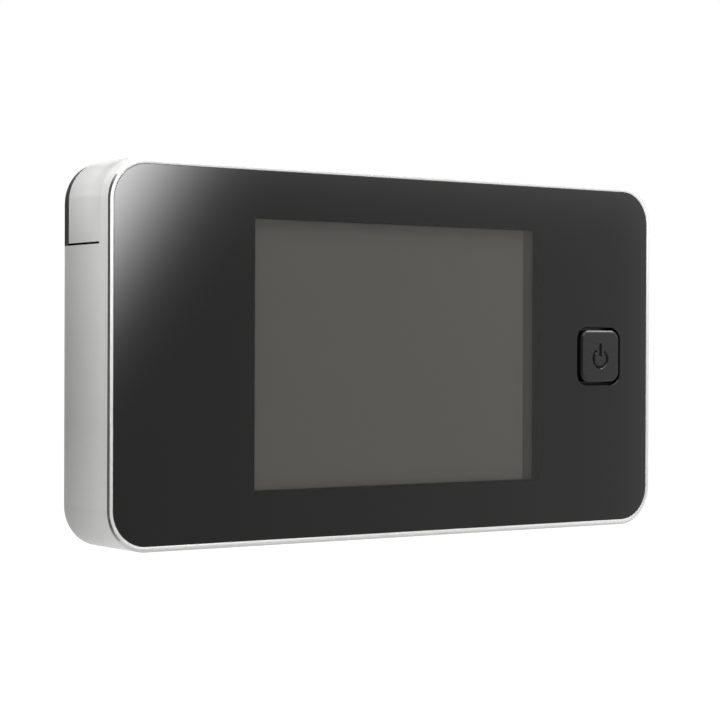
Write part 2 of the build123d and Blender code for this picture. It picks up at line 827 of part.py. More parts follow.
def make_lens_element():
    """The lens's front glass: flat behind, with a round crown that stops under its rim."""
    back = lens_front_y - element_thickness
    crown = lens_front_y - seat_gap
    ball_radius = (element_radius**2 + element_crown**2) / (2 * element_crown)
    ball_y = crown - ball_radius
    half_turn = math.asin(element_radius / ball_radius) / 2
    middle = (ball_radius * math.sin(half_turn), ball_y + ball_radius * math.cos(half_turn))
    rim = (element_radius, crown - element_crown)
    edges = [
        Line((0, back), (element_radius, back)),
        Line((element_radius, back), rim),
        ThreePointArc(rim, middle, (0, crown)),
        Line((0, crown), (0, back)),
    ]
    return revolve(make_face(edges), Axis.Y)


def make_lens_holder():
    holder = disc(tube_bore - thread_gap, holder_back_y, holder_front_y)
    holder -= disc(lens_radius + seat_gap, lens_back_y, holder_front_y + cut_over)
    return holder - disc(sensor_size * sensor_room_share, holder_back_y - cut_over, lens_back_y)


def make_sensor_chip():
    y_range = (holder_back_y, holder_back_y + sensor_thickness)
    return block(around(0, sensor_size), y_range, around(0, sensor_size))


def make_sensor_board():
    return disc(tube_bore - thread_gap, holder_back_y - sensor_board_thickness, holder_back_y)


def make_ribbon_socket():
    y_back = holder_back_y - sensor_board_thickness
    y_range = (y_back - ribbon_socket_depth, y_back)
    return block(around(0, ribbon_socket_width), y_range, around(0, ribbon_socket_height))


parts = {
    "main_housing": make_housing(),
    "bezel_ring": make_bezel_ring(),
    "front_glass": make_front_glass(),
    "mask_film": make_mask_film(),
    "power_button": make_power_button(),
    "switch_body": make_switch(),
    "switch_plunger": make_plunger(),
    "lcd_frame": make_lcd_frame(),
    "lcd_panel": make_lcd_panel(),
    "lcd_light_guide": make_light_guide(),
    "lcd_flex": make_lcd_flex(),
    "lcd_socket": make_lcd_socket(),
    "main_board": make_main_board(),
    "main_processor": on_board(chip_x, processor_z, *processor_size),
    "memory_chip": on_board(chip_x, memory_z, *memory_size),
    "flash_chip": on_board(chip_x, flash_z, *flash_size),
    "quartz_crystal": on_board(crystal_x, flash_z, *crystal_size),
    "power_coils": make_power_coils(),
    "capacitors": make_capacitors(),
    "resistors": make_resistors(),
    "camera_socket": make_camera_socket(),
    "board_screws": make_board_screws(),
    "case_screws": make_case_screws(),
    "battery_tray": make_battery_tray(),
    "cell_left": make_cell(cell_left_x),
    "cell_right": make_cell(cell_right_x),
    "flat_contact": make_flat_contact(),
    "leaf_contact": make_leaf_contact(),
    "back_cover": make_back_cover(),
    "battery_lid": make_battery_lid(),
    "door_bracket": make_bracket(),
    "foam_pads": make_foam_pads(),
    "clamp_sleeve": make_clamp_sleeve(),
    "camera_barrel": make_camera_barrel(),
    "outer_washer": make_outer_washer(),
    "window_glass": make_window_glass(),
    "lens_barrel": make_lens(),
    "lens_element": make_lens_element(),
    "lens_holder": make_lens_holder(),
    "sensor_chip": make_sensor_chip(),
    "sensor_board": make_sensor_board(),
    "ribbon_socket": make_ribbon_socket(),
}

os.makedirs("parts", exist_ok=True)
for name, shape in parts.items():
    solids = shape if isinstance(shape, list) else [shape]
    whole = Compound(children=[solid for item in solids for solid in item.solids()])
    export_step(whole, f"parts/{name}.step")
    print(name, len(whole.solids()), round(whole.volume, 1))
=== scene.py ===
import math

import bmesh
import bpy
from mathutils import Matrix, Vector


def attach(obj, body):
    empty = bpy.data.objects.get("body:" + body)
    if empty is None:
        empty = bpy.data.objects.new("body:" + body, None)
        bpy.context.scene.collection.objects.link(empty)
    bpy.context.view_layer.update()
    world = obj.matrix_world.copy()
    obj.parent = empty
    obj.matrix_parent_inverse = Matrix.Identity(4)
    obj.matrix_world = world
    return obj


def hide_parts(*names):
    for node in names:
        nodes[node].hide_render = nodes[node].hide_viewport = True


# A door viewer: the display unit on its bracket and the camera barrel through the door.
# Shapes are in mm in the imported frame, and the studio is in metres.
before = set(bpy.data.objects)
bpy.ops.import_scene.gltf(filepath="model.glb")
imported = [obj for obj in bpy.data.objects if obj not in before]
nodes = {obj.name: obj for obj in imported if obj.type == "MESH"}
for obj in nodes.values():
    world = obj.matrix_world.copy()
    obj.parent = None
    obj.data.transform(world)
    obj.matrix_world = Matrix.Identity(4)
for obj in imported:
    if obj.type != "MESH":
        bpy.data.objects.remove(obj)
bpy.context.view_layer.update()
mm = 0.001
print("frame loaded,", len(nodes), "pieces")


# Materials are written as maths on sockets
class Value:  # a node's output that sums, products and comparisons can be made from
    def __init__(self, finish, socket):
        self.finish, self.socket = finish, socket

    def __add__(self, other):
        return self.finish.maths("ADD", self, other)

    def __radd__(self, other):
        return self.finish.maths("ADD", other, self)

    def __sub__(self, other):
        return self.finish.maths("SUBTRACT", self, other)

    def __rsub__(self, other):
        return self.finish.maths("SUBTRACT", other, self)

    def __mul__(self, other):
        return self.finish.maths("MULTIPLY", self, other)

    def __rmul__(self, other):
        return self.finish.maths("MULTIPLY", other, self)

    def __truediv__(self, other):
        return self.finish.maths("DIVIDE", self, other)

    def __rtruediv__(self, other):
        return self.finish.maths("DIVIDE", other, self)

    def __pow__(self, other):
        return self.finish.maths("POWER", self, other)

    def __gt__(self, other):
        return self.finish.maths("GREATER_THAN", self, other)

    def __lt__(self, other):
        return self.finish.maths("LESS_THAN", self, other)


class Finish:  # a material in the making
    def __init__(self, name, tree=None):
        if tree is None:
            self.material = bpy.data.materials.new(name)
            self.material.use_nodes = True
            tree = self.material.node_tree
        self.tree = tree
        self.tree.nodes.clear()

    def node(self, kind, settings=None, inputs=None, output=0):
        made = self.tree.nodes.new(kind)
        for key, value in (settings or {}).items():
            setattr(made, key, value)
        for key, value in (inputs or {}).items():
            if isinstance(value, Value):
                self.tree.links.new(value.socket, made.inputs[key])
            else:
                made.inputs[key].default_value = value
        return Value(self, made.outputs[output]) if made.outputs else None

    def maths(self, operation, *terms):
        return self.node("ShaderNodeMath", {"operation": operation}, dict(enumerate(terms)))

    def place(self):  # where on the piece, in metres
        return self.node("ShaderNodeTexCoord", output="Object")

    def along(self, axis):
        return self.node("ShaderNodeSeparateXYZ", inputs={"Vector": self.place()}, output=axis)

    def grain(self, size, detail, rough=0.5, stretch=(1, 1, 1)):
        # noise whose grains are about size mm across
        where = self.node("ShaderNodeVectorMath", {"operation": "MULTIPLY"}, {0: self.place(), 1: stretch})
        inputs = {"Vector": where, "Scale": 1 / (size * mm), "Detail": detail, "Roughness": rough}
        return self.node("ShaderNodeTexNoise", inputs=inputs)

    def smears(self):  # faint hand marks on glass
        return self.spread(self.grain(26.0, 4.0, 0.6), 0.45, 0.8)

    def cells(self, scale):
        return self.node("ShaderNodeTexVoronoi", {"feature": "F1"}, {"Vector": self.place(), "Scale": scale})

    def stripes(self, scale):
        inputs = {"Vector": self.place(), "Scale": scale}
        return self.node("ShaderNodeTexWave", {"bands_direction": "X"}, inputs)

    def spread(self, value, low, high, newLow=0.0, newHigh=1.0):
        # moves a value from one range to another, with its ends held
        inputs = {0: value, 1: low, 2: high, 3: newLow, 4: newHigh}
        return self.node("ShaderNodeMapRange", {"clamp": True}, inputs)

    def tint(self, share, first, second):
        inputs = {0: share, 6: first, 7: second}
        return self.node("ShaderNodeMix", {"data_type": "RGBA"}, inputs, output=2)

    def relief(self, height, depth, strength):
        # a bump whose height runs over depth mm
        inputs = {"Height": height, "Distance": depth * mm, "Strength": strength}
        return self.node("ShaderNodeBump", inputs=inputs)

    def shownBy(self, shader):
        self.node("ShaderNodeOutputMaterial", inputs={"Surface": shader})
        return self.material

    def surface(self, inputs):
        return self.shownBy(self.node("ShaderNodeBsdfPrincipled", inputs=inputs))

    def lit(self, strength):  # white light of its own
        return self.node("ShaderNodeEmission", inputs={"Color": rgb(1.0), "Strength": strength})


def rgb(red, green=None, blue=None):
    return (red, red if green is None else green, red if blue is None else blue, 1.0)


def toned(colour, share):
    return tuple(min(1.0, share * c) for c in colour[:3]) + (1.0,)


glassIndex = 1.47  # of the front glass, and of the ink that is seen through it


def silverPaint():
    # metallic paint: bright flakes in a mid grey, with a faint orange peel
    look = {
        "dark": rgb(0.461, 0.461, 0.455), "bright": rgb(0.504, 0.504, 0.497), "rough": 0.29,
        "flake": 0.16, "cloud": 9.0, "peel": 1.4,  # sizes of the grain in mm
    }
    # shares of painted shade (back, low, corner) and of painted light (under the corners)
    shadeShares = {"back": 0.40, "low": 0.14, "lightUnder": 0.15, "shadeOnCorner": 0.16}
    f = Finish("silverPaint")
    flakes = f.spread(f.grain(look["flake"], 1.0), 0.36, 0.66)
    clouds = f.grain(look["cloud"], 3.0)
    coat = f.tint(flakes, look["dark"], look["bright"])
    depth, high = f.along("Y"), f.along("Z")
    # painted shade: the silver is darkened towards the back and below, where less light falls
    paintedShade = f.spread(depth, -14 * mm, -2 * mm, 0, shadeShares["back"])
    paintedShade = paintedShade + f.spread(high, 2 * mm, 26 * mm, shadeShares["low"], 0) * f.spread(high, -26 * mm, -12 * mm)
    # painted light under the upper corners towards the back, and painted shade on the corners near the ring
    behind = f.spread(depth, -12.5 * mm, -9 * mm)
    under = f.spread(high, 20 * mm, 26.3 * mm) * f.spread(high, 28.6 * mm, 26.6 * mm)
    corner = f.spread(high, 26.6 * mm, 28 * mm) * f.spread(high, 31.5 * mm, 29 * mm)
    paintedShade = paintedShade - shadeShares["lightUnder"] * behind * under + shadeShares["shadeOnCorner"] * (1 - behind) * corner
    return f.surface({
        "Base Color": f.tint(paintedShade, coat, rgb(0.0)),
        "Metallic": 0.6,
        "Roughness": look["rough"] + 0.08 * flakes + 0.05 * (clouds - 0.5),
        "Normal": f.relief(flakes * 0.4 + f.grain(look["peel"], 2.0), 0.002, 0.35),
    })


def brightPlating():
    # polished plating with hair-fine wear
    look = {"colour": rgb(0.40, 0.40, 0.395), "paintedLitTop": rgb(0.9), "rough": 0.12, "wear": 2.5, "hair": 0.5}
    f = Finish("brightPlating")
    wear = f.spread(f.grain(look["wear"], 4.0), 0.35, 0.7)
    top = f.spread(f.along("Z"), 30.5 * mm, 33.5 * mm)  # painted light: brighter towards the top, where the light falls
    return f.surface({
        "Base Color": f.tint(top, look["colour"], look["paintedLitTop"]),
        "Metallic": 1.0,
        "Roughness": look["rough"] + 0.06 * wear,
        "Normal": f.relief(f.grain(look["hair"], 2.0), 0.002, 0.3),
    })


def satinPlating():
    # the ring's flat lip, plated over a blasted face
    look = {"colour": rgb(0.69, 0.69, 0.68), "rough": 0.3, "cloud": 0.8, "blast": 0.1}
    f = Finish("satinPlating")
    return f.surface({
        "Base Color": look["colour"],
        "Metallic": 0.8,
        "Roughness": look["rough"] + 0.08 * (f.grain(look["cloud"], 3.0) - 0.5),
        "Normal": f.relief(f.grain(look["blast"], 2.0), 0.003, 0.4),
    })


def paneGlass(name, index):
    # a flat pane: straight through, with its front face's reflection and faint smears;
    # the gain evens the print behind the pane with the ink on its face
    look = {"gain": 1.06, "smears": 0.04}
    f = Finish(name)
    mirror = f.node("ShaderNodeFresnel", inputs={"IOR": index})
    back = f.node("ShaderNodeNewGeometry", output="Backfacing")
    share = look["gain"] * mirror * (1 - back) * (1 + look["smears"] * (f.smears() - 0.5))
    clear = f.node("ShaderNodeBsdfTransparent", inputs={"Color": rgb(1.0)})
    gloss = f.node("ShaderNodeBsdfGlossy", inputs={"Color": rgb(1.0), "Roughness": 0.0})
    return f.shownBy(f.node("ShaderNodeMixShader", inputs={0: share, 1: clear, 2: gloss}))


def clearGlass(name, index, tone):
    # bends what is seen through it, and lets the lamps straight through
    f = Finish(name)
    glass = f.node("ShaderNodeBsdfPrincipled", inputs={
        "Base Color": tone,
        "Roughness": 0.02 * f.smears(),
        "IOR": index,
        "Transmission Weight": 1.0,
    })
    through = f.node("ShaderNodeBsdfTransparent", inputs={"Color": tone})
    lamp = f.node("ShaderNodeLightPath", output="Is Shadow Ray")
    bounce = f.node("ShaderNodeLightPath", output="Is Diffuse Ray")
    straight = f.maths("MAXIMUM", lamp, bounce)
    return f.shownBy(f.node("ShaderNodeMixShader", inputs={0: straight, 1: glass, 2: through}))


def blackPrint(name, gloss):
    # warm black ink with fine specks; seen through the glass it has the glass's gloss
    look = {"colour": rgb(0.0060, 0.0055, 0.0050), "speck": rgb(0.0070, 0.0065, 0.0060), "size": 0.6}
    f = Finish(name)
    specks = f.spread(f.grain(look["size"], 3.0), 0.4, 0.7)
    return f.surface({
        "Base Color": f.tint(specks, look["colour"], look["speck"]),
        "Roughness": 0.01 + 0.02 * f.smears(),
        "IOR": glassIndex,
        "Specular IOR Level": gloss,
    })


def screenGrey(name, colour):
    # the unlit panel under its polariser: faint columns over a soft mottle
    look = {"columns": 1200.0, "mottle": 14.0, "rough": 0.5, "gloss": 0.1}
    f = Finish(name)
    mottle = f.grain(look["mottle"], 3.0)
    pattern = mottle * 0.8 + f.stripes(look["columns"]) * 0.2
    return f.surface({
        "Base Color": f.tint(pattern, toned(colour, 0.97), toned(colour, 1.03)),
        "Roughness": look["rough"] + 0.06 * mottle,
        "Specular IOR Level": look["gloss"],
    })


def buttonPlastic():
    # fine grit on a dark satin moulding
    look = {"low": rgb(0.0105), "high": rgb(0.0145), "grit": 0.14, "rough": 0.24, "gloss": 0.3}
    f = Finish("buttonPlastic")
    grit = f.grain(look["grit"], 2.0)
    return f.surface({
        "Base Color": f.tint(grit, look["low"], look["high"]),
        "Specular IOR Level": look["gloss"],
        "Roughness": look["rough"] + 0.06 * grit,
        "Normal": f.relief(grit, 0.002, 0.4),
    })


def moulding(name, colour, texture=0.22, rough=0.5, gloss=0.5):
    # moulded plastic with a spark-eroded skin
    f = Finish(name)
    skin = f.grain(texture, 3.0)
    clouds = f.grain(12.0, 3.0)
    return f.surface({
        "Base Color": f.tint(0.5 * skin + 0.5 * clouds, toned(colour, 0.82), toned(colour, 1.16)),
        "Roughness": rough + 0.14 * (skin - 0.5) + 0.06 * (clouds - 0.5),
        "Specular IOR Level": gloss,
        "Normal": f.relief(skin, 0.02, 0.6),
    })


def rolledSteel(name, colour, rough, along=(1, 14, 14)):
    # sheet or drawn metal: streaks along one way and a few dull blooms
    f = Finish(name)
    streaks = f.grain(1.6, 3.0, 0.6, along)
    blooms = f.spread(f.grain(7.0, 4.0), 0.42, 0.72)
    return f.surface({
        "Base Color": f.tint(0.6 * streaks + 0.4 * blooms, colour, toned(colour, 0.78)),
        "Metallic": 1.0,
        "Roughness": rough + 0.12 * (streaks - 0.5) + 0.10 * blooms,
        "Normal": f.relief(streaks, 0.004, 0.5),
    })


def turnedMetal(name, colour, rough):
    # fine rings round the barrel's axis, as a lathe tool leaves them
    look = {"rings": 42000.0, "haze": 4.0}
    f = Finish(name)
    x, y, z = f.along("X"), f.along("Y"), f.along("Z")
    radius = (x * x + z * z) ** 0.5
    rings = f.maths("SINE", (radius + y) * look["rings"])
    haze = f.grain(look["haze"], 4.0)
    return f.surface({
        "Base Color": f.tint(haze, colour, toned(colour, 0.86)),
        "Metallic": 1.0,
        "Roughness": rough + 0.05 * rings + 0.10 * (haze - 0.5),
        "Normal": f.relief(rings, 0.0012, 0.35),
    })


def circuitBoard():
    # solder mask over copper runs, with the glass weave showing faintly
    look = {
        "mask": rgb(0.010, 0.085, 0.035), "copper": rgb(0.030, 0.165, 0.070), "pads": rgb(0.70, 0.66, 0.52),
        "runs": 420.0, "vias": 260.0, "weave": 0.35,
    }
    f = Finish("circuitBoard")
    runs = f.node(
        "ShaderNodeTexVoronoi",
        {"feature": "DISTANCE_TO_EDGE", "distance": "CHEBYCHEV"},
        {"Vector": f.place(), "Scale": look["runs"], "Randomness": 0.85},
    )
    run = f.spread(runs, 0.04, 0.07, 1.0, 0.0)
    pad = f.spread(f.cells(look["vias"]), 0.10, 0.14, 1.0, 0.0)
    weave = f.grain(look["weave"], 1.0, 0.5, (1, 1, 3))
    board = f.tint(run * 0.8 + 0.2 * weave, look["mask"], look["copper"])
    return f.surface({
        "Base Color": f.tint(pad, board, look["pads"]),
        "Metallic": pad * 0.9,
        "Roughness": 0.34 + 0.1 * weave - 0.08 * pad,
        "Normal": f.relief(run * 0.6 + pad, 0.03, 0.5),
    })


def chipBlack():
    # moulded epoxy, slightly sparkling
    look = {"body": rgb(0.016), "sparkle": rgb(0.05), "grit": 0.09, "rough": 0.55}
    f = Finish("chipBlack")
    grit = f.grain(look["grit"], 2.0)
    return f.surface({
        "Base Color": f.tint(f.spread(grit, 0.6, 0.75), look["body"], look["sparkle"]),
        "Roughness": look["rough"] + 0.15 * grit,
        "Normal": f.relief(grit, 0.008, 0.6),
    })


def flexAmber():
    # polyimide with copper tracks that run along the cable
    look = {"film": rgb(0.32, 0.12, 0.015), "track": rgb(0.55, 0.25, 0.06), "tracks": 500.0, "rough": 0.28}
    f = Finish("flexAmber")
    track = f.spread(f.stripes(look["tracks"]), 0.45, 0.6)
    return f.surface({
        "Base Color": f.tint(track, look["film"], look["track"]),
        "Roughness": look["rough"] + 0.12 * f.grain(1.5, 3.0),
        "Normal": f.relief(track, 0.02, 0.5),
    })


def cellWrap():
    # a plain shrink sleeve: a dark body and a copper-toned band at the nub's end
    look = {
        "body": rgb(0.018, 0.020, 0.024), "copper": rgb(0.42, 0.22, 0.09), "rough": 0.26,
        "start": -42.3, "length": 44.5, "band": 0.70,
    }  # a cell's start and length in mm, and its band's start as a share of them
    f = Finish("cellWrap")
    turn = f.maths("FRACT", (f.along("X") - look["start"] * mm) / (look["length"] * mm))
    band = f.spread(turn, look["band"], look["band"] + 0.005)
    wrinkle = f.grain(1.2, 3.0, 0.5, (0.4, 1, 1))
    return f.surface({
        "Base Color": f.tint(band, look["body"], look["copper"]),
        "Metallic": 0.25 + band * 0.5,
        "Roughness": look["rough"] + 0.12 * wrinkle,
        "Normal": f.relief(wrinkle, 0.01, 0.4),
    })


def foam():
    # open cells in dark foam
    look = {"wall": rgb(0.02), "face": rgb(0.065), "cells": 3600.0, "rough": 0.85}
    f = Finish("foam")
    cells = f.cells(look["cells"])
    return f.surface({
        "Base Color": f.tint(cells, look["wall"], look["face"]),
        "Roughness": look["rough"] + 0.1 * cells,
        "Normal": f.relief(cells, 0.08, 0.8),
    })


def rubber():
    # dull rubber with a patchy bloom
    look = {"body": rgb(0.016), "bloom": rgb(0.034), "patch": 2.2, "skin": 0.12, "rough": 0.62}
    f = Finish("rubber")
    bloom = f.grain(look["patch"], 4.0)
    return f.surface({
        "Base Color": f.tint(bloom, look["body"], look["bloom"]),
        "Roughness": look["rough"] + 0.2 * bloom,
        "Normal": f.relief(f.grain(look["skin"], 2.0), 0.008, 0.5),
    })


def sensorFace():
    # the sensor's sheen inside its tan edge
    look = {
        "halfWide": 1.6, "halfHigh": 1.2, "edge": rgb(0.14, 0.12, 0.09),
        "green": rgb(0.05, 0.11, 0.10), "violet": rgb(0.10, 0.05, 0.13),
    }
    f = Finish("sensorFace")
    across, up = f.maths("ABSOLUTE", f.along("X")), f.maths("ABSOLUTE", f.along("Z"))
    inside = (across < look["halfWide"] * mm) * (up < look["halfHigh"] * mm)
    field = f.tint(f.grain(1.0, 2.0), look["green"], look["violet"])
    return f.surface({
        "Base Color": f.tint(inside, look["edge"], field),
        "Roughness": 0.35 - 0.2 * inside,
        "Metallic": 0.3,
    })


def milkyAcrylic():
    # the light guide's printed dots
    look = {"sheet": rgb(0.86, 0.86, 0.84), "dot": rgb(0.74, 0.75, 0.74), "dots": 900.0, "rough": 0.2}
    f = Finish("milkyAcrylic")
    dots = f.cells(look["dots"])
    return f.surface({
        "Base Color": f.tint(dots, look["sheet"], look["dot"]),
        "Roughness": look["rough"] + 0.2 * dots,
    })


finishes = {
    "silver": silverPaint(),
    "plating": brightPlating(),
    "lip": satinPlating(),
    "frontGlass": paneGlass("frontGlass", glassIndex),
    "portGlass": clearGlass("portGlass", 1.45, rgb(0.96, 0.98, 0.98)),
    "lensGlass": clearGlass("lensGlass", 1.5, rgb(0.80, 0.76, 0.94)),
    "inkedGlass": blackPrint("inkedGlass", 0.5),
    "print": blackPrint("blackPrint", 0.0),
    "screen": screenGrey("screenGrey", rgb(0.133, 0.125, 0.110)),
    "screenRim": screenGrey("screenRim", rgb(0.050, 0.048, 0.039)),
    "button": buttonPlastic(),
    # painted shade: the engraved sign's floors are darker than the button, as shade falls in the grooves
    "sign": moulding("signGrooveShade", rgb(0.0055), 0.1, 0.6, 0.05),
    "black": moulding("blackMoulding", rgb(0.009, 0.009, 0.0092), gloss=0.08),
    "blackFine": moulding("blackFineMoulding", rgb(0.016), 0.12, 0.42),
    "ivory": moulding("ivoryMoulding", rgb(0.62, 0.57, 0.44), 0.15, 0.42),
    "red": moulding("redMoulding", rgb(0.36, 0.03, 0.02), 0.1, 0.4),
    "zinc": rolledSteel("zincSheet", rgb(0.60, 0.60, 0.585), 0.32),
    "screws": rolledSteel("screwSteel", rgb(0.56, 0.56, 0.55), 0.28, (9, 9, 9)),
    "darkScrews": rolledSteel("darkScrewSteel", rgb(0.10, 0.10, 0.105), 0.34, (9, 9, 9)),
    "nickel": rolledSteel("nickelSpring", rgb(0.68, 0.66, 0.60), 0.2, (14, 14, 1)),
    "can": rolledSteel("crystalCan", rgb(0.66, 0.66, 0.64), 0.22),
    "barrel": turnedMetal("barrelMetal", rgb(0.60, 0.60, 0.595), 0.24),
    "sleeve": turnedMetal("sleeveNickel", rgb(0.64, 0.60, 0.50), 0.22),
    "board": circuitBoard(),
    "chip": chipBlack(),
    "flex": flexAmber(),
    "ferrite": moulding("ferrite", rgb(0.055, 0.053, 0.052), 0.3, 0.6),
    "tantalum": moulding("tantalum", rgb(0.50, 0.27, 0.05), 0.3, 0.4),
    "resistor": moulding("resistorInk", rgb(0.03, 0.03, 0.034), 0.2, 0.3),
    "cells": cellWrap(),
    "foam": foam(),
    "rubber": rubber(),
    "sensor": sensorFace(),
    "acrylic": milkyAcrylic(),
}
print("finishes made:", len(finishes))


# Shapes are loops of (x, z) points, set at depths and joined by faces
def ringPoints(width, height, corner, x=0.0, z=0.0, steps=10, stops=()):
    # a rounded rectangle, anticlockwise from the right side's low end;
    # stops are heights at which both upright sides get a point
    corner = max(corner, 0.02)
    right, top = width / 2 - corner, height / 2 - corner
    points = []
    for cx, cz, start in ((right, top, 0), (-right, top, 90), (-right, -top, 180), (right, -top, 270)):
        if start == 0:
            points += [(x + width / 2, stop) for stop in sorted(stops)]
        if start == 180:
            points += [(x - width / 2, stop) for stop in sorted(stops, reverse=True)]
        for i in range(steps + 1):
            a = math.radians(start + 90 * i / steps)
            points.append((x + cx + corner * math.cos(a), z + cz + corner * math.sin(a)))
    return points


def circlePoints(radius, x=0.0, z=0.0, steps=48):
    turn = 2 * math.pi / steps
    return [(x + radius * math.cos(i * turn), z + radius * math.sin(i * turn)) for i in range(steps)]


def setLoop(bm, points, y):
    return [bm.verts.new((x * mm, y * mm, z * mm)) for x, z in points]


def joinLoops(bm, first, second, finish=0):
    # quads between two loops of equal length
    for i in range(len(first)):
        j = (i + 1) % len(first)
        bm.faces.new((first[i], first[j], second[j], second[i])).material_index = finish


def joinRow(bm, loops):
    for a, b in zip(loops, loops[1:]):
        joinLoops(bm, a, b)


def fillBetween(bm, loops, finish=0):
    # a flat face with holes: the first loop is its rim
    edges = []
    for loop in loops:
        for i in range(len(loop)):
            pair = (loop[i], loop[(i + 1) % len(loop)])
            edges.append(bm.edges.get(pair) or bm.edges.new(pair))
    made = bmesh.ops.triangle_fill(bm, edges=edges, use_beauty=True, use_dissolve=False)
    for item in made["geom"]:
        if isinstance(item, bmesh.types.BMFace):
            item.material_index = finish


def turned(bm, profile, steps, x=0.0, z=0.0, finish=0):
    # a closed profile of (radius, y) points swept round an axis along Y; radius 0 makes a single point
    loops = []
    for radius, y in profile:
        points = circlePoints(radius, x, z, steps) if radius else [(x, z)]
        loops.append(setLoop(bm, points, y))
    for i in range(len(loops)):
        a, b = loops[i], loops[(i + 1) % len(loops)]
        if len(a) > 1 and len(b) > 1:
            joinLoops(bm, a, b, finish)
        elif len(a) + len(b) > 2:
            tip, rim = (a[0], b) if len(a) == 1 else (b[0], a)
            for k in range(len(rim)):
                bm.faces.new((rim[k], rim[(k + 1) % len(rim)], tip)).material_index = finish


def softenEdges(bm, width):
    # rounds every sharp edge by width mm
    look = {"angle": 32, "segments": 2, "profile": 0.6}
    least = math.radians(look["angle"])
    sharp = [edge for edge in bm.edges if len(edge.link_faces) == 2 and edge.calc_face_angle(0) > least]
    bmesh.ops.bevel(
        bm, geom=sharp, offset=width * mm, offset_type="OFFSET", segments=look["segments"],
        profile=look["profile"], affect="EDGES", clamp_overlap=True,
    )


def placed(name, data):
    item = bpy.data.objects.new(name, data)
    bpy.context.scene.collection.objects.link(item)
    return item


def finishPiece(name, bm, looks, body, stands, angle=38):
    # turns the mesh into a shown piece that rides on its body
    bmesh.ops.remove_doubles(bm, verts=bm.verts, dist=1e-7)
    bmesh.ops.recalc_face_normals(bm, faces=bm.faces)
    for edge in bm.edges:
        edge.smooth = len(edge.link_faces) == 2 and edge.calc_face_angle(0) < math.radians(angle)
    for face in bm.faces:
        face.smooth = True
    mesh = bpy.data.meshes.new(name)
    bm.to_mesh(mesh)
    bm.free()
    for look in looks:
        mesh.materials.append(finishes[look])
    piece = placed(name, mesh)
    even = piece.modifiers.new("evenShading", "WEIGHTED_NORMAL")
    even.keep_sharp, even.weight = True, 60
    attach(piece, body)
    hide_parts(*stands)
    return piece


def softenedNode(node, piece, look, body, width, change=None):
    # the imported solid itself, with its sharp edges rounded
    bm = bmesh.new()
    bm.from_mesh(nodes[node].data)
    bmesh.ops.remove_doubles(bm, verts=bm.verts, dist=2e-6)
    if change:
        change(bm)
    bmesh.ops.dissolve_limit(bm, angle_limit=math.radians(0.6), verts=bm.verts, edges=bm.edges)
    reach = [sorted(vert.co[i] for vert in bm.verts) for i in range(3)]
    softenEdges(bm, width)
    # a bevel may run past a thin strip's corner, so the mesh is held to its own reach
    for vert in bm.verts:
        vert.co = [min(max(c, ends[0]), ends[-1]) for c, ends in zip(vert.co, reach)]
    return finishPiece(piece, bm, [look], body, [node])


# The display unit
unit = {
    "width": 125.0, "height": 68.0, "corner": 7.5,
    "front": -16.5, "back": -0.5,
    "seam": 19.12, "lidFront": -13.15, "lidBack": -1.95,
    "crown": 0.04,  # how far the sides fall away towards the back
}


def unitLoop(inset, stops=(), rise=0.0, steps=12):
    width, height = unit["width"] - 2 * inset, unit["height"] - 2 * inset
    ring = ringPoints(width, height, unit["corner"] - inset, 0, 0, steps, stops)
    return [(x, z + rise) for x, z in ring]


def sideInset(y):
    # the sides are straight in front and curve in slightly towards the back
    t = (y - unit["front"]) / (unit["back"] - unit["front"])
    return unit["crown"] * t * t


def buildHousing():
    # side walls cut away for the lid, and one plate behind the glass; painted on the outside only
    look = {
        "wall": 1.4, "edge": 0.04, "front": -16.2, "rebate": 0.48, "plateFront": -15.35, "plateBack": -14.35,
        "before": [-15.0, -14.0], "behind": [-10.0, -7.0, -4.0, -2.0],  # rows of points beside the lid's seam
    }
    openings = (  # the screen's and the button's: width, height, corner, x, z and steps
        ringPoints(77.4, 55.0, 0.2, -0.8, 0.05, 2),
        ringPoints(10.6, 11.1, 2.2, 48.8, 0, 8),
    )
    bm = bmesh.new()
    seam, lidFront, back = unit["seam"], unit["lidFront"], unit["back"]
    depths = [look["front"], *look["before"], lidFront, *look["behind"], back]
    outer = [setLoop(bm, unitLoop(sideInset(y), (seam,)), y) for y in depths]
    inner = [setLoop(bm, unitLoop(look["wall"], (seam,)), y) for y in (look["plateBack"], lidFront, back)]
    rebate = [setLoop(bm, unitLoop(look["rebate"], (seam,)), y) for y in (look["front"], look["plateFront"])]
    heights = [point[1] for point in unitLoop(0, (seam,))]
    count, cut = len(heights), depths.index(lidFront)
    for i in range(count):
        j = (i + 1) % count
        above = (heights[i] + heights[j]) / 2 > seam
        skins = outer[:cut + 1] if above else outer
        for a, b in zip(skins, skins[1:]):
            bm.faces.new((a[i], a[j], b[j], b[i]))
        pairs = [(inner[0], inner[1])] if above else [(inner[0], inner[1]), (inner[1], inner[2])]
        pairs += [(skins[-1], inner[1] if above else inner[2]), (outer[0], rebate[0]), (rebate[0], rebate[1])]
        for a, b in pairs:
            bm.faces.new((a[i], a[j], b[j], b[i])).material_index = 1
        if abs(heights[i] - seam) < 1e-6:  # the walls' ends under the lid
            bm.faces.new([loop[i] for loop in outer[cut:]] + [inner[2][i], inner[1][i]]).material_index = 1
    softenEdges(bm, look["edge"])
    front = [setLoop(bm, points, look["plateFront"]) for points in openings]
    rear = [setLoop(bm, points, look["plateBack"]) for points in openings]
    fillBetween(bm, [rebate[1]] + front, 1)
    fillBetween(bm, [inner[0]] + rear, 1)
    for a, b in zip(front, rear):
        joinLoops(bm, a, b, 1)
    addBosses(bm)
    return finishPiece("housingShell", bm, ["silver", "black"], "display", ["main_housing"])


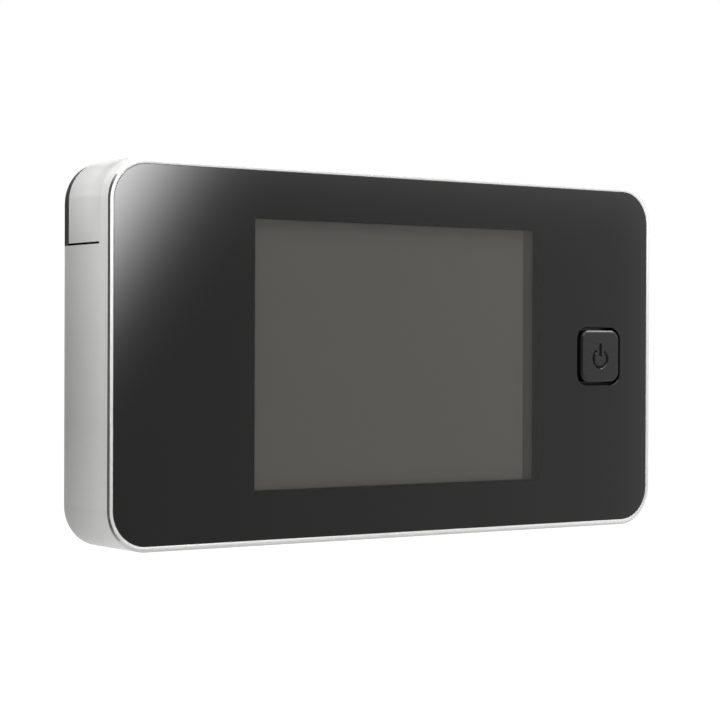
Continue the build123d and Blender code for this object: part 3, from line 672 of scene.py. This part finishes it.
def addBosses(bm):
    # posts behind the plate, bored for the board's four screws and the case's four
    look = {"bore": 0.95, "root": -14.6, "board": 2.5, "boardEnd": -12.0, "case": 3.0, "steps": 28}
    board = [(-46, 14), (-46, -22), (48.8, 14), (48.8, -22)]
    case = [(-56, 14.5, -4.7), (56, 14.5, -4.7), (-56, -27, -3.5), (56, -27, -3.5)]
    posts = [(x, z, look["board"], look["boardEnd"]) for x, z in board]
    posts += [(x, z, look["case"], end) for x, z, end in case]
    bore, root = look["bore"], look["root"]
    for x, z, radius, end in posts:
        turned(bm, [(bore, root), (radius, root), (radius, end), (bore, end)], look["steps"], x, z, 1)


def buildBezel():
    # flange with the dark polished chamfer, a satin lip and a leg down to the plate
    look = {
        "chamferWide": 0.35, "chamferDeep": 0.26, "edge": 0.02, "lip": 0.97, "drop": 0.04, "rows": 6,
        "flange": 0.3, "leg": 0.5, "depth": 1.15,
    }
    front = unit["front"]
    flange, back = front + look["flange"], front + look["depth"]
    wide, deep, lip = look["chamferWide"], look["chamferDeep"], look["lip"]
    profile = [(0.0, flange, 0), (0.0, front + deep + look["edge"], 0), (wide, front, 1)]
    for i in range(look["rows"]):  # the lip falls away towards the glass
        t = (i + 1) / look["rows"]
        profile.append((wide + (lip - wide) * t, front + look["drop"] * t ** 2, 1))
    profile += [(lip, back, 1), (look["leg"], back, 1), (look["leg"], flange, 1)]
    bm = bmesh.new()
    loops = [setLoop(bm, unitLoop(inset, steps=20), y) for inset, y, _ in profile]
    for i, (_, _, finish) in enumerate(profile):
        joinLoops(bm, loops[i], loops[(i + 1) % len(loops)], finish)
    return finishPiece("bezelRing", bm, ["plating", "lip"], "display", ["bezel_ring"], 25)


# the hole in the glass and in the print, and the button's cap in it
buttonHole = {"width": 11.3, "height": 11.5, "corner": 2.4, "x": 48.65, "z": -0.15}
cap = {"width": 10.0, "height": 10.24, "corner": 1.9, "x": 48.8, "z": -0.08}


def holeLoop(grow=0.0):
    hole = buttonHole
    width, height = hole["width"] + 2 * grow, hole["height"] + 2 * grow
    return ringPoints(width, height, hole["corner"] + grow, hole["x"], hole["z"])


screen = {"width": 64.6, "height": 48.55, "x": 0.0, "z": 0.13}  # the print's window


def buildGlass():
    # the print is shown on the front face, clear over the window and a little beside it
    look = {
        "inset": 1.0, "thick": 0.97, "chamfer": 0.06, "holeChamfer": 0.07,
        "beside": 0.75, "above": 0.2, "corner": 0.4,
    }
    front, back = unit["front"], unit["front"] + look["thick"]
    bm = bmesh.new()
    cut, holeCut = look["chamfer"], look["holeChamfer"]
    rimFront = setLoop(bm, unitLoop(look["inset"] + cut), front)
    rimSide = setLoop(bm, unitLoop(look["inset"]), front + cut)
    rimBack = setLoop(bm, unitLoop(look["inset"]), back)
    holeFront = setLoop(bm, holeLoop(holeCut), front)
    holeSide = setLoop(bm, holeLoop(), front + holeCut)
    holeBack = setLoop(bm, holeLoop(), back)
    wide, high = screen["width"] + 2 * look["beside"], screen["height"] + 2 * look["above"]
    window = setLoop(bm, ringPoints(wide, high, look["corner"], screen["x"], screen["z"], 4), front)
    fillBetween(bm, [rimFront, holeFront, window], 1)
    fillBetween(bm, [window])
    fillBetween(bm, [rimBack, holeBack])
    for a, b in ((rimFront, rimSide), (rimSide, rimBack), (holeFront, holeSide), (holeSide, holeBack)):
        joinLoops(bm, a, b, 1)
    looks = ["frontGlass", "inkedGlass"]
    return finishPiece("frontGlass", bm, looks, "display", ["front_glass"], 20)


def buildPrint():
    look = {"inset": 1.0, "front": 1.0, "back": 1.12, "corner": 0.12}
    window = ringPoints(screen["width"], screen["height"], look["corner"], screen["x"], screen["z"], 4)
    outlines = (unitLoop(look["inset"]), window, holeLoop())
    bm = bmesh.new()
    sides = []
    for depth in (look["front"], look["back"]):
        loops = [setLoop(bm, points, unit["front"] + depth) for points in outlines]
        fillBetween(bm, loops)
        sides.append(loops)
    for a, b in zip(*sides):
        joinLoops(bm, a, b)
    return finishPiece("maskPrint", bm, ["print"], "display", ["mask_film"])


def buildScreen():
    # the panel with its working area, a hair behind a darker rim
    look = {
        "front": -15.3, "back": -13.95, "x": -0.8, "z": 0.05, "width": 76.4, "height": 54.0, "corner": 0.4,
        "left": -33.6, "right": 29.95, "end": 25.6, "areaCorner": 0.1, "sunk": 0.02,  # the working area
    }
    bm = bmesh.new()
    outer = ringPoints(look["width"], look["height"], look["corner"], look["x"], look["z"], 3)
    wide, middle = look["right"] - look["left"], (look["right"] + look["left"]) / 2
    area = ringPoints(wide, 2 * look["end"], look["areaCorner"], middle, look["z"], 2)
    rimFront = setLoop(bm, outer, look["front"])
    rimBack = setLoop(bm, outer, look["back"])
    areaRim = setLoop(bm, area, look["front"])
    areaFloor = setLoop(bm, area, look["front"] + look["sunk"])
    fillBetween(bm, [rimFront, areaRim], 1)
    fillBetween(bm, [areaFloor])
    fillBetween(bm, [rimBack], 1)
    joinLoops(bm, areaRim, areaFloor, 1)
    joinLoops(bm, rimFront, rimBack, 1)
    return finishPiece("screenPanel", bm, ["screen", "screenRim"], "display", ["lcd_panel"])


def powerSign(x, z, grow):
    # the sign's two outlines: a ring open at its top and an upright bar
    look = {"radius": 2.02, "line": 0.5, "gap": 68.0, "low": 0.35, "high": 2.95, "steps": 40}
    outer, inner = look["radius"] + grow, look["radius"] - look["line"] - grow
    start, end = 90 + look["gap"] / 2, 450 - look["gap"] / 2
    steps = look["steps"]
    turns = [math.radians(start + (end - start) * i / steps) for i in range(steps + 1)]
    ring = [(x + outer * math.cos(a), z + outer * math.sin(a)) for a in turns]
    ring += [(x + inner * math.cos(a), z + inner * math.sin(a)) for a in reversed(turns)]
    half = look["line"] / 2 + grow
    low, high = z + look["low"] - grow, z + look["high"] + grow
    bar = [(x + half, low), (x + half, high), (x - half, high), (x - half, low)]
    return [ring, bar]


def buildButton():
    look = {
        "front": -16.9, "bevel": 0.35, "edge": 0.12, "proud": 0.005,
        "flange": -14.2, "flangeWide": 1.2, "flangeThick": 0.6, "stem": 1.6, "stemEnd": -13.35,
        "depth": 0.2, "draft": 0.1, "drop": 0.5,  # the engraved sign
    }
    bm = bmesh.new()
    x, z = cap["x"], cap["z"]

    def capLoop(inset, y):
        width, height = cap["width"] - 2 * inset, cap["height"] - 2 * inset
        return setLoop(bm, ringPoints(width, height, cap["corner"] - inset, x, z), y)

    front, bevel, flange = look["front"], look["bevel"], look["flange"]
    flangeBack = flange + look["flangeThick"]
    rings = [capLoop(bevel + look["edge"], front)]
    for out, down in ((0.0, 0.0), (0.12, 0.03), (0.9, 0.8), (1.0, 1.0)):  # a bevel with softened ends
        rings.append(capLoop(bevel * (1 - out), front + look["proud"] + bevel * down))
    wide = -look["flangeWide"]
    rings += [capLoop(0, flange), capLoop(wide, flange), capLoop(wide, flangeBack)]
    joinRow(bm, rings)
    circle = circlePoints(look["stem"], x, z, 32)
    stem, stemEnd = setLoop(bm, circle, flangeBack), setLoop(bm, circle, look["stemEnd"])
    fillBetween(bm, [rings[-1], stem])
    joinLoops(bm, stem, stemEnd)
    fillBetween(bm, [stemEnd])
    signZ = z - look["drop"]
    tops = [setLoop(bm, points, front) for points in powerSign(x, signZ, look["draft"])]
    floors = [setLoop(bm, points, front + look["depth"]) for points in powerSign(x, signZ, -look["draft"])]
    fillBetween(bm, [rings[0]] + tops)
    for top, floor in zip(tops, floors):
        joinLoops(bm, top, floor)
        # the groove floors take the darker finish, which is painted shade
        fillBetween(bm, [floor], 1)
    return finishPiece("powerButton", bm, ["button", "sign"], "button", ["power_button"], 30)


def buildLid():
    # one wall bent over the top, with two tongues that slide inside the housing
    look = {
        "wall": 1.2, "rise": 0.3, "ramp": 3.2, "bottom": 19.5, "gap": 0.03, "rearGap": 0.07, "edge": 0.03,
        "rows": [-12.2, -11.2, -10.0, -7.0, -4.5],  # between its front and its back
    }
    bm = bmesh.new()
    front, back = unit["lidFront"] + look["gap"], unit["lidBack"] - look["rearGap"]
    depths = [front, *look["rows"], back]

    def arch(inset, rise):
        points = unitLoop(inset, (look["bottom"] - rise,), rise)
        return [p for p in points if p[1] >= look["bottom"] - 1e-6]

    def swell(y):  # level with the housing in front, and up to its full rise behind
        t = min(1.0, (y - front) / look["ramp"])
        return look["rise"] * t * t * (3 - 2 * t)

    outer = [setLoop(bm, arch(sideInset(y), swell(y)), y) for y in depths]
    inner = [setLoop(bm, arch(look["wall"], look["rise"]), y) for y in (front, back)]
    count = len(outer[0])
    for i in range(count - 1):
        for a, b in zip(outer, outer[1:]):
            bm.faces.new((a[i], a[i + 1], b[i + 1], b[i]))
        bm.faces.new((outer[0][i], outer[0][i + 1], inner[0][i + 1], inner[0][i]))
        for a, b in ((inner[0], inner[1]), (outer[-1], inner[1])):
            bm.faces.new((a[i], a[i + 1], b[i + 1], b[i])).material_index = 1
    for i in (0, count - 1):
        bm.faces.new([loop[i] for loop in outer] + [inner[1][i], inner[0][i]]).material_index = 1
    softenEdges(bm, look["edge"])
    for side in (-1, 1):
        addTongue(bm, side)
    return finishPiece("batteryLid", bm, ["silver", "black"], "lid", ["battery_lid"])


def addTongue(bm, side):
    # a flat guide whose low end is tapered, so that it finds its way in, and its root in the lid's wall
    look = {
        "front": -9.9, "rear": -5.9, "low": 14.45, "high": 25.45, "taper": 0.8, "guide": (60.9, 59.8),
        "rootLow": 19.95, "root": (61.35, 60.85),
    }
    front, rear, low, high, taper = (look[name] for name in ("front", "rear", "low", "high", "taper"))
    guide = [
        (front, high), (front, low + taper), (front + taper, low),
        (rear - taper, low), (rear, low + taper), (rear, high),
    ]
    root = [(front, look["rootLow"]), (rear, look["rootLow"]), (rear, high), (front, high)]
    for points, faces in ((guide, look["guide"]), (root, look["root"])):
        sides = [[bm.verts.new((x * side * mm, y * mm, z * mm)) for y, z in points] for x in faces]
        joinLoops(bm, sides[0], sides[1], 1)
        for loop in sides:
            bm.faces.new(loop).material_index = 1


def trimStrip(bm):
    # the cover's edge behind the lid: a little thinner, and down to the lid's seam
    look = {"front": -1.88, "low": 19.13}
    packed = {"front": -2.3, "low": 19.65, "side": 60}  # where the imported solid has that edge
    near = 0.01
    for vert in bm.verts:
        x, y, z = (c / mm for c in vert.co)
        if z > packed["low"] - 0.05 and abs(y - packed["front"]) < near:
            vert.co.y = look["front"] * mm
        if abs(z - packed["low"]) < near and abs(x) > packed["side"]:
            vert.co.z = look["low"] * mm


buildHousing()
buildBezel()
buildGlass()
buildPrint()
buildScreen()
buildButton()
buildLid()
softenedNode("back_cover", "backCover", "black", "display", 0.08, change=trimStrip)
print("display unit built")


# The door side: bracket, sleeve and barrel
def threadLoops(bm, radius, depth, start, end):
    # a screw thread as one skin: loops along Y whose radius follows the helix
    look = {"pitch": 1.0, "steps": 48, "rows": 6, "runOut": 1.2}  # rows to a turn; the run-out is in turns
    pitch, steps, rows, runOut = look.values()
    count = round((end - start) / pitch * rows)
    loops = []
    for k in range(count + 1):
        y = start + (end - start) * k / count
        ease = min(1.0, (k / rows) / runOut, ((count - k) / rows) / runOut)
        points = []
        for i in range(steps):
            phase = (y / pitch - i / steps) % 1.0
            crest = 1 - abs(2 * phase - 1)
            r = radius - depth * (1 - crest) * ease
            a = 2 * math.pi * i / steps
            points.append((r * math.cos(a), r * math.sin(a)))
        loops.append(setLoop(bm, points, y))
    joinRow(bm, loops)
    return loops[0], loops[-1]


def closeSkin(bm, first, last, outline):
    # joins a thread's two ends round the rest of the outline
    joinRow(bm, [last, *(setLoop(bm, circlePoints(radius), y) for radius, y in outline), first])


def buildBarrel():
    # the outside flange and the threaded tube; the port glass sits in the seat, against the stop
    look = {
        "radius": 6.0, "bore": 5.0, "inner": 8.8, "threadEnd": 39.6, "threadDeep": 0.32, "chamfer": 0.2,
        "head": 40.8, "front": 43.4, "headRadius": 13.5,
        "seat": 5.55, "seatBack": 42.2, "stop": 4.5, "stopBack": 41.4,
    }
    radius, bore, wide, cut = look["radius"], look["bore"], look["headRadius"], look["chamfer"]
    inner, head, front = look["inner"], look["head"], look["front"]
    seat, seatBack, stop, stopBack = look["seat"], look["seatBack"], look["stop"], look["stopBack"]
    rim = [(0, 1.2), (0.1, 0.8), (0.35, 0.42), (0.7, 0.16), (1.2, 0)]  # the head's rounding
    dish = [(7.4, 0), (7.2, 0.1), (6.7, 0.16), (6.1, 0.1), (5.9, 0)]  # the groove round its hole
    outline = [(radius, look["threadEnd"] + 0.1), (radius, head), (wide - cut, head), (wide, head + cut)]
    outline += [(wide - inset, front - depth) for inset, depth in rim]
    outline += [(groove, front - depth) for groove, depth in dish]
    outline += [(seat + 0.07, front), (seat, front - 0.06), (seat, seatBack), (stop, seatBack)]
    outline += [(stop, stopBack), (bore, stopBack), (bore, inner + cut), (bore + cut, inner)]
    outline += [(radius - cut, inner), (radius, inner + cut)]
    bm = bmesh.new()
    first, last = threadLoops(bm, radius, look["threadDeep"], inner + 2 * cut, look["threadEnd"])
    closeSkin(bm, first, last, outline)
    return finishPiece("cameraBarrel", bm, ["barrel"], "camera", ["camera_barrel"], 30)


def buildSleeve():
    look = {
        "bore": 6.1, "threadDeep": 0.3, "radius": 6.8, "end": 28.0, "chamfer": 0.2,
        "flange": 12.0, "flangeBack": -2.1, "flangeFront": -3.6,
    }
    root, cut = look["bore"] + look["threadDeep"], look["chamfer"]
    radius, end = look["radius"], look["end"]
    wide, back, front = look["flange"], look["flangeBack"], look["flangeFront"]
    outline = [(root - 0.05, end), (radius - cut, end), (radius, end - cut), (radius, back + cut)]
    outline += [(radius + 0.1, back), (wide - cut, back), (wide, back - cut)]
    outline += [(wide, front + cut), (wide - cut, front), (root + 0.1, front)]
    bm = bmesh.new()
    first, last = threadLoops(bm, root, look["threadDeep"], front + cut, end - cut)
    closeSkin(bm, first, last, outline)
    return finishPiece("clampSleeve", bm, ["sleeve"], "sleeve", ["clamp_sleeve"], 30)


def turnedPiece(piece, node, look, body, profile):
    bm = bmesh.new()
    turned(bm, profile, 64)
    return finishPiece(piece, bm, [look], body, [node], 30)


washer = [
    (6.4, 40.0), (12.6, 40.0), (12.8, 40.2), (12.8, 40.6),
    (12.6, 40.8), (6.4, 40.8), (6.3, 40.7), (6.3, 40.1),
]
portGlass = [(0, 42.2), (5.4, 42.2), (5.5, 42.3), (5.5, 43.1), (5.4, 43.2), (0, 43.2)]
buildBarrel()
buildSleeve()
turnedPiece("outerWasher", "outer_washer", "rubber", "camera", washer)
turnedPiece("portGlass", "window_glass", "portGlass", "camera", portGlass)
softenedNode("door_bracket", "doorBracket", "zinc", "bracket", 0.1)
softenedNode("foam_pads", "foamPads", "foam", "bracket", 0.15)
print("door side built")

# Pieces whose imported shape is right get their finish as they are
carried = {
    "switch_body": "blackFine", "switch_plunger": "red", "lcd_frame": "zinc",
    "lcd_light_guide": "acrylic", "lcd_flex": "flex", "lcd_socket": "ivory", "main_board": "board",
    "main_processor": "chip", "memory_chip": "chip", "flash_chip": "chip", "quartz_crystal": "can",
    "power_coils": "ferrite", "capacitors": "tantalum", "resistors": "resistor",
    "camera_socket": "ivory", "board_screws": "screws", "case_screws": "darkScrews",
    "battery_tray": "black", "cell_left": "cells", "cell_right": "cells", "flat_contact": "nickel",
    "leaf_contact": "nickel", "lens_barrel": "blackFine", "lens_element": "lensGlass",
    "lens_holder": "blackFine", "sensor_chip": "sensor", "sensor_board": "board",
    "ribbon_socket": "ivory",
}
for node, look in carried.items():
    for slot in nodes[node].material_slots:
        slot.material = finishes[look]
print("carried pieces finished:", len(carried))


# The studio
def lookAt(item, target):
    item.rotation_euler = (Vector(target) - item.location).to_track_quat("-Z", "Y").to_euler()


def addLamp(name, place, size, power):
    lamp = bpy.data.lights.new(name, "AREA")
    lamp.shape, lamp.size, lamp.size_y, lamp.energy = "RECTANGLE", size[0], size[1], power
    item = placed(name, lamp)
    item.location = place
    lookAt(item, (0, 0, 0))


def flatSheet(name, width, height, material):
    w, h = width / 2, height / 2
    mesh = bpy.data.meshes.new(name)
    mesh.from_pydata([(-w, -h, 0), (w, -h, 0), (w, h, 0), (-w, h, 0)], [], [(0, 1, 2, 3)])
    mesh.materials.append(material)
    return placed(name, mesh)


def addCard(name, place, target, size, material):
    # a sheet that only shows as a reflection
    material.cycles.emission_sampling = "NONE"
    card = flatSheet(name, *size, material)
    card.location = place
    lookAt(card, target)
    card.visible_camera = card.visible_diffuse = card.visible_shadow = card.visible_transmission = False


def paleRays(f):
    # 1 where the camera, a mirror or glass looks, so that all three see the same white
    names = ("Is Camera Ray", "Is Glossy Ray", "Is Transmission Ray")
    camera, mirror, glass = (f.node("ShaderNodeLightPath", output=name) for name in names)
    return f.maths("MAXIMUM", camera, f.maths("MAXIMUM", mirror, glass))


def buildStudio():
    look = {"fill": 0.42, "floor": -0.17, "floorSize": 16.0, "floorGrey": 0.45, "floorWhite": 0.82}
    lamps = {  # where each hangs, its size and its power
        "keyLamp": ((-0.08, -0.5, 1.02), (0.95, 0.5), 4.4),
        "topLamp": ((0.68, -0.1, 0.82), (0.32, 0.6), 5.0),
        # five small ones behind the unit, from its left to its right, shape the silver side
        "rearLamp": ((-0.546, 0.611, 0.153), (0.3, 0.4), 0.42),
        "highLamp": ((-0.433, 0.634, 0.3), (0.4, 0.3), 0.38),
        "upperLamp": ((-0.111, 0.683, 0.4), (0.3, 0.25), 0.15),
        "cornerLamp": ((-0.013, 0.703, 0.363), (0.6, 0.3), 0.48),
        "farLamp": ((0.324, 0.661, 0.207), (0.3, 0.25), 0.22),
    }
    world = bpy.data.worlds.new("studio")
    bpy.context.scene.world = world
    world.use_nodes = True
    f = Finish("studio", world.node_tree)
    strength = look["fill"] + (1 - look["fill"]) * paleRays(f)
    sky = f.node("ShaderNodeBackground", inputs={"Color": rgb(1.0), "Strength": strength})
    f.node("ShaderNodeOutputWorld", inputs={"Surface": sky})

    f = Finish("studioFloor")
    own = f.node("ShaderNodeBsdfDiffuse", inputs={"Color": rgb(look["floorGrey"])})
    lift = f.lit(look["floorWhite"] * paleRays(f))
    material = f.shownBy(f.node("ShaderNodeAddShader", inputs={0: own, 1: lift}))
    floor = flatSheet("floor", look["floorSize"], look["floorSize"], material)
    floor.location.z = look["floor"]
    for name, (place, size, power) in lamps.items():
        addLamp(name, place, size, power)


mirrored = {"x": -0.23823, "y": 0.30421, "z": 0.00166}  # the camera as the front glass mirrors it
frontCard = {"y": -0.6, "size": (1.0, 0.7)}
frontCard["scale"] = (mirrored["y"] - frontCard["y"]) / (mirrored["y"] - unit["front"] * mm)


def softCard():
    # what the glass mirrors: a grey room side and a soft light high on its left;
    # the card is the glass's own face enlarged, so its formula runs in mm on the glass
    look = {
        "base": 0.0291, "slope": 0.00008,
        "right": 0.0093, "rightFrom": 60, "rightWide": 3.54, "top": 0.012, "topFrom": 31, "topWide": 4.66,
        "peak": 0.742, "x": -70.84, "z": 26.81, "wide": 11.26, "high": 14.79, "lean": -0.9,
        "endsAbove": (34, 48), "startsBeside": (-66, -62.5),
        "own": 0.0055, "share": 0.0365, "above": 0.06, "aboveFrom": (34, 40),
    }
    f = Finish("softCard")
    x, z = (f.along(axis) * (1 / mm / frontCard["scale"]) for axis in ("X", "Y"))

    def power(value):
        return f.maths("EXPONENT", f.maths("MINIMUM", value, 1.0))

    dx, dz = (x - look["x"]) / look["wide"], (z - look["z"]) / look["high"]
    glow = look["peak"] * power((dx * dx + dz * dz + 2 * look["lean"] * dx * dz) * -0.5)
    glow = glow * f.spread(z, *look["endsAbove"], 1, 0) * f.spread(x, *look["startsBeside"])
    edges = look["right"] * power((x - look["rightFrom"]) / look["rightWide"])
    edges = edges + look["top"] * power((z - look["topFrom"]) / look["topWide"])
    above = f.spread(z, *look["aboveFrom"], 0, look["above"])
    seen = look["base"] + look["slope"] * x + edges + glow + above
    return f.shownBy(f.lit((seen - look["own"]) / look["share"]))


def darkCard(name, look):
    # dark in the middle, and as pale as the room at its ends
    f = Finish(name)
    sideways = f.spread(f.maths("ABSOLUTE", f.along("X")), *look["wide"])
    upright = f.spread(f.maths("ABSOLUTE", f.along("Y")), *look["high"])
    pale = f.maths("MAXIMUM", sideways, upright)
    return f.shownBy(f.lit(look["dark"] + (look["pale"] - look["dark"]) * pale))


def buildCamera():
    look = {
        "place": (-0.23822908, -0.33721294, 0.00165752),
        "heading": 35.4403123, "tilt": -0.3635656, "roll": -0.220989,
        "lens": 106.8477657, "sensor": 36.0, "near": 0.01, "far": 50.0,
    }
    data = bpy.data.cameras.new("camera")
    data.lens, data.sensor_width = look["lens"], look["sensor"]
    data.clip_start, data.clip_end = look["near"], look["far"]
    camera = placed("camera", data)
    heading, tilt, roll = (math.radians(look[name]) for name in ("heading", "tilt", "roll"))
    ahead = Vector((math.sin(heading) * math.cos(tilt), math.cos(heading) * math.cos(tilt), math.sin(tilt)))
    level = ahead.cross(Vector((0, 0, 1))).normalized()
    upRolled = math.cos(roll) * level.cross(ahead) + math.sin(roll) * level
    right = ahead.cross(upRolled)
    turn = Matrix((right, upRolled, -ahead)).transposed().to_4x4()
    camera.matrix_world = Matrix.Translation(look["place"]) @ turn
    bpy.context.scene.camera = camera


darkCards = {
    "sideCard": {
        "place": (-0.4825, -0.4365, 0.0), "target": (-0.0625, -0.0165, 0.0), "size": (0.5, 1.5),
        "dark": 0.2, "pale": 1.0, "wide": (0.14, 0.22), "high": (0.38, 0.62),
    },
    "lowCard": {
        "place": (-0.30, -0.28, -0.165), "target": (-0.30, -0.28, 0.0), "size": (0.4, 0.4),
        "dark": 0.2, "pale": 0.82, "wide": (0.12, 0.2), "high": (0.12, 0.2),
    },
}
buildStudio()
buildCamera()
grow = 1 - frontCard["scale"]
place = (grow * mirrored["x"], frontCard["y"], grow * mirrored["z"])
addCard("softCard", place, (place[0], 0, place[2]), frontCard["size"], softCard())
for name, look in darkCards.items():
    addCard(name, look["place"], look["target"], look["size"], darkCard(name, look))
bpy.context.scene.view_settings.view_transform = "Standard"
print("studio set")
